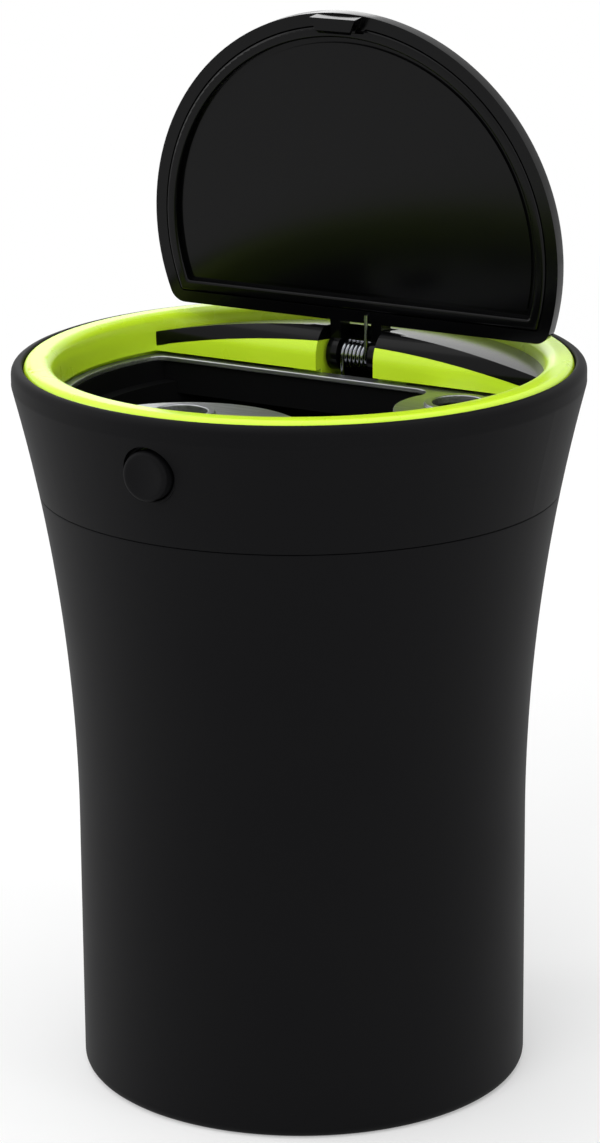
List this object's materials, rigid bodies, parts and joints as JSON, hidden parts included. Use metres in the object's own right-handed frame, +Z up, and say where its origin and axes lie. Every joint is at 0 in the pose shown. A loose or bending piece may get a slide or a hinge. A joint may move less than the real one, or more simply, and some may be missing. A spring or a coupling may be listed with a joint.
{
  "type": "car ashtray",
  "caption": "Flared black cup-holder ashtray with a screw-off head, a lime funnel ring, a steel ash plate and a sprung domed lid that a front push button releases.",
  "frame": {"origin": "centre of the base, on the surface that the ashtray stands on", "axes": "+Z up along the cup's axis; the release button is at -Y and the lid's hinge at +Y"},
  "size_m": [0.0822, 0.0822, 0.1542],
  "materials": {
    "satin_black": "satin moulded plastic",
    "lime": "semi-gloss moulded plastic",
    "gloss_black": "high gloss moulded plastic",
    "steel_plate": "pressed stainless sheet",
    "steel_wire": "bright spring wire",
    "screw_steel": "zinc plated",
    "latch_plastic": "moulded acetal",
    "seal_rubber": "matt rubber"
  },
  "bodies": {
    "cup": {"cup": "satin_black"},
    "seal": {"neck_seal": "seal_rubber"},
    "head": {"head_shell": "satin_black", "funnel_ring": "lime", "rear_deck": "gloss_black", "ash_plate": "steel_plate", "hinge_pin": "steel_wire", "lid_spring": "steel_wire", "latch_guide": "latch_plastic", "button_spring": "steel_wire", "ring_screws": "screw_steel", "deck_screws": "screw_steel", "guide_screws": "screw_steel"},
    "lid": {"lid_shell": "gloss_black", "lid_liner": "gloss_black"},
    "button": {"button_cap": "satin_black", "latch_slider": "latch_plastic"}
  },
  "joints": [
    {"name": "head_lift", "type": "slide", "parent": "cup", "child": "seal", "axis": [0, 0, 1], "range_m": [0, 0.0101]},
    {"name": "head_turn", "type": "hinge", "parent": "seal", "child": "head", "pos_m": [0, 0, 0.0877], "axis": [0, 0, 1], "range_deg": [0, 300]},
    {"name": "lid_hinge", "type": "hinge", "parent": "head", "child": "lid", "pos_m": [0, 0.0175, 0.1033], "axis": [1, 0, 0], "range_deg": [0, 85], "stiffness_Nm_per_rad": 0.004, "springref_deg": -28.65, "deforming": ["lid_spring"]},
    {"name": "button_press", "type": "slide", "parent": "head", "child": "button", "axis": [0, 1, 0], "range_m": [0, 0.0018], "stiffness_N_per_m": 300, "springref_m": -0.002, "deforming": ["button_spring"]}
  ],
  "couplings": [
    {"joint": "head_lift", "follows": "head_turn", "m_per_rad": 0.0019099}
  ]
}
